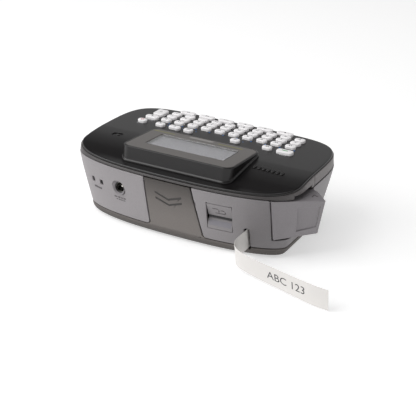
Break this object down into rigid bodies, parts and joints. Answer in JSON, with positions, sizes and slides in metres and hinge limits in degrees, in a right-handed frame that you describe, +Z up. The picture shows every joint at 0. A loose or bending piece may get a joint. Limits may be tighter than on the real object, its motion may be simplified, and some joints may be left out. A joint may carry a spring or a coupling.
{
  "type": "label maker",
  "caption": "Handheld label maker with a keyboard, sloping display, rear tape exit, corner cutter lever and a hinged bottom cover.",
  "frame": {"origin": "centre of the pad on the underside, on the surface that the label maker stands on", "axes": "+X the user's right, -Y towards the user, +Y the rear with the tape exit, +Z up"},
  "size_m": [0.2536, 0.1621, 0.0722],
  "materials": {
    "casing_grey": "fine moulded texture",
    "cover_grey": "fine moulded texture",
    "frame_grey": "fine moulded texture",
    "deck_charcoal": "satin moulded texture",
    "bezel_brown": "satin printed panel",
    "window_clear": "clear polished acrylic",
    "lcd_grey": "smooth display glass",
    "key_white": "satin moulded cap",
    "key_silicone": "satin silicone",
    "black_plastic": "moulded",
    "spring_steel": "plain steel",
    "brass": "plain",
    "board_green": "solder-mask coated board",
    "foot_rubber": "matte",
    "tape_white": "laminated film",
    "platen_rubber": "ground rubber",
    "cell_jacket": "printed jacket",
    "cassette_grey": "moulded",
    "spool_white": "moulded",
    "gear_acetal": "moulded"
  },
  "bodies": {
    "casing": {"backing_peeler": "casing_grey", "cassette_shell": "cassette_grey", "cell_1": "cell_jacket", "cell_2": "cell_jacket", "cell_3": "cell_jacket", "cell_4": "cell_jacket", "cell_5": "cell_jacket", "cell_6": "cell_jacket", "cell_contacts_left": "brass", "cell_contacts_right": "brass", "chassis_plate": "spring_steel", "chassis_screw_1": "spring_steel", "chassis_screw_2": "spring_steel", "chassis_screw_3": "spring_steel", "chassis_screw_4": "spring_steel", "dc_jack": "black_plastic", "display_bezel": "bezel_brown", "display_housing": "deck_charcoal", "display_window": "window_clear", "feed_motor": "spring_steel", "key_board": "board_green", "key_mat": "key_silicone", "label_tape": "tape_white", "lcd_module": "lcd_grey", "lever_pivot_pin": "spring_steel", "lever_return_spring": "spring_steel", "main_board": "board_green", "main_casing": "casing_grey", "print_head": "brass", "top_deck": "deck_charcoal", "upper_frame": "frame_grey"},
    "cutter_lever": {"cutter_lever": "cover_grey"},
    "blade_carriage": {"cutter_blade_carrier": "black_plastic", "cutter_blade": "spring_steel"},
    "cover": {"bottom_cover": "cover_grey", "rubber_foot_1": "foot_rubber", "rubber_foot_2": "foot_rubber", "rubber_foot_3": "foot_rubber", "rubber_foot_4": "foot_rubber"},
    "platen": {"platen_roller": "platen_rubber", "platen_gear": "gear_acetal"},
    "idler": {"idler_gear": "gear_acetal"},
    "pinion": {"motor_pinion": "gear_acetal"},
    "label_spool": {"tape_spool": "spool_white"},
    "takeup_spool": {"ribbon_spool": "spool_white"},
    "key_accent": {"key_accent": "key_white"},
    "key_code": {"key_code": "key_white"},
    "key_enter": {"key_enter": "key_white"},
    "key_escape": {"key_escape": "key_white"},
    "key_home": {"key_home": "key_white"},
    "key_left": {"key_left": "key_white"},
    "key_menu": {"key_menu": "key_white"},
    "key_power": {"key_power": "key_white"},
    "key_print": {"key_print": "key_white"},
    "key_right": {"key_right": "key_white"},
    "key_shift": {"key_shift": "key_white"},
    "key_size": {"key_size": "key_white"},
    "key_space": {"key_space": "key_white"},
    "key_style": {"key_style": "key_white"},
    "key_symbol": {"key_symbol": "key_white"}
  },
  "joints": [
    {"name": "cutter_lever_swing", "type": "hinge", "parent": "casing", "child": "cutter_lever", "pos_m": [-0.079, 0.0435, 0.04], "axis": [0, 0, 1], "range_deg": [0, 6], "stiffness_Nm_per_rad": 0.6, "springref_deg": -2.86},
    {"name": "blade_stroke", "type": "slide", "parent": "casing", "child": "blade_carriage", "axis": [1, 0, 0], "range_m": [0, 0.0035]},
    {"name": "cover_swing", "type": "hinge", "parent": "casing", "child": "cover", "pos_m": [0, -0.05335, 0.00905], "axis": [-1, 0, 0], "range_deg": [0, 95]},
    {"name": "platen_spin", "type": "hinge", "parent": "casing", "child": "platen", "pos_m": [-0.07145, 0.026, 0.018], "axis": [0, 0, 1], "continuous": true},
    {"name": "idler_spin", "type": "hinge", "parent": "casing", "child": "idler", "pos_m": [-0.05491, 0.02308, 0.0335], "axis": [0, 0, 1], "continuous": true},
    {"name": "pinion_spin", "type": "hinge", "parent": "casing", "child": "pinion", "pos_m": [-0.04213, 0.02773, 0.0335], "axis": [0, 0, 1], "continuous": true},
    {"name": "label_spool_spin", "type": "hinge", "parent": "casing", "child": "label_spool", "pos_m": [-0.0546, -0.022, 0.016], "axis": [0, 0, 1], "continuous": true},
    {"name": "takeup_spool_spin", "type": "hinge", "parent": "casing", "child": "takeup_spool", "pos_m": [-0.05, 0.005, 0.016], "axis": [0, 0, 1], "continuous": true},
    {"name": "key_print_press", "type": "slide", "parent": "casing", "child": "key_print", "axis": [0, 0, -1], "range_m": [0, 0.0011], "stiffness_N_per_m": 400, "springref_m": -0.0003},
    {"name": "key_power_press", "type": "slide", "parent": "casing", "child": "key_power", "axis": [0, 0, -1], "range_m": [0, 0.0011], "stiffness_N_per_m": 400, "springref_m": -0.0003},
    {"name": "key_code_press", "type": "slide", "parent": "casing", "child": "key_code", "axis": [0, 0, -1], "range_m": [0, 0.0011], "stiffness_N_per_m": 400, "springref_m": -0.0003},
    {"name": "key_shift_press", "type": "slide", "parent": "casing", "child": "key_shift", "axis": [0, 0, -1], "range_m": [0, 0.0011], "stiffness_N_per_m": 400, "springref_m": -0.0003},
    {"name": "key_space_press", "type": "slide", "parent": "casing", "child": "key_space", "axis": [0, 0, -1], "range_m": [0, 0.0011], "stiffness_N_per_m": 400, "springref_m": -0.0003},
    {"name": "key_enter_press", "type": "slide", "parent": "casing", "child": "key_enter", "axis": [0, 0, -1], "range_m": [0, 0.0011], "stiffness_N_per_m": 400, "springref_m": -0.0003},
    {"name": "key_accent_press", "type": "slide", "parent": "casing", "child": "key_accent", "axis": [0, 0, -1], "range_m": [0, 0.0011], "stiffness_N_per_m": 400, "springref_m": -0.0003},
    {"name": "key_escape_press", "type": "slide", "parent": "casing", "child": "key_escape", "axis": [0, 0, -1], "range_m": [0, 0.0011], "stiffness_N_per_m": 400, "springref_m": -0.0003},
    {"name": "key_home_press", "type": "slide", "parent": "casing", "child": "key_home", "axis": [0, 0, -1], "range_m": [0, 0.0011], "stiffness_N_per_m": 400, "springref_m": -0.0003},
    {"name": "key_left_press", "type": "slide", "parent": "casing", "child": "key_left", "axis": [0, 0, -1], "range_m": [0, 0.0011], "stiffness_N_per_m": 400, "springref_m": -0.0003},
    {"name": "key_menu_press", "type": "slide", "parent": "casing", "child": "key_menu", "axis": [0, 0, -1], "range_m": [0, 0.0011], "stiffness_N_per_m": 400, "springref_m": -0.0003},
    {"name": "key_right_press", "type": "slide", "parent": "casing", "child": "key_right", "axis": [0, 0, -1], "range_m": [0, 0.0011], "stiffness_N_per_m": 400, "springref_m": -0.0003},
    {"name": "key_size_press", "type": "slide", "parent": "casing", "child": "key_size", "axis": [0, 0, -1], "range_m": [0, 0.0011], "stiffness_N_per_m": 400, "springref_m": -0.0003},
    {"name": "key_style_press", "type": "slide", "parent": "casing", "child": "key_style", "axis": [0, 0, -1], "range_m": [0, 0.0011], "stiffness_N_per_m": 400, "springref_m": -0.0003},
    {"name": "key_symbol_press", "type": "slide", "parent": "casing", "child": "key_symbol", "axis": [0, 0, -1], "range_m": [0, 0.0011], "stiffness_N_per_m": 400, "springref_m": -0.0003}
  ],
  "couplings": [
    {"joint": "blade_stroke", "follows": "cutter_lever_swing", "m_per_rad": 0.033},
    {"joint": "idler_spin", "follows": "platen_spin", "ratio": -0.75},
    {"joint": "pinion_spin", "follows": "platen_spin", "ratio": 1.8},
    {"joint": "label_spool_spin", "follows": "platen_spin", "ratio": -0.312},
    {"joint": "takeup_spool_spin", "follows": "platen_spin", "ratio": 0.6}
  ]
}
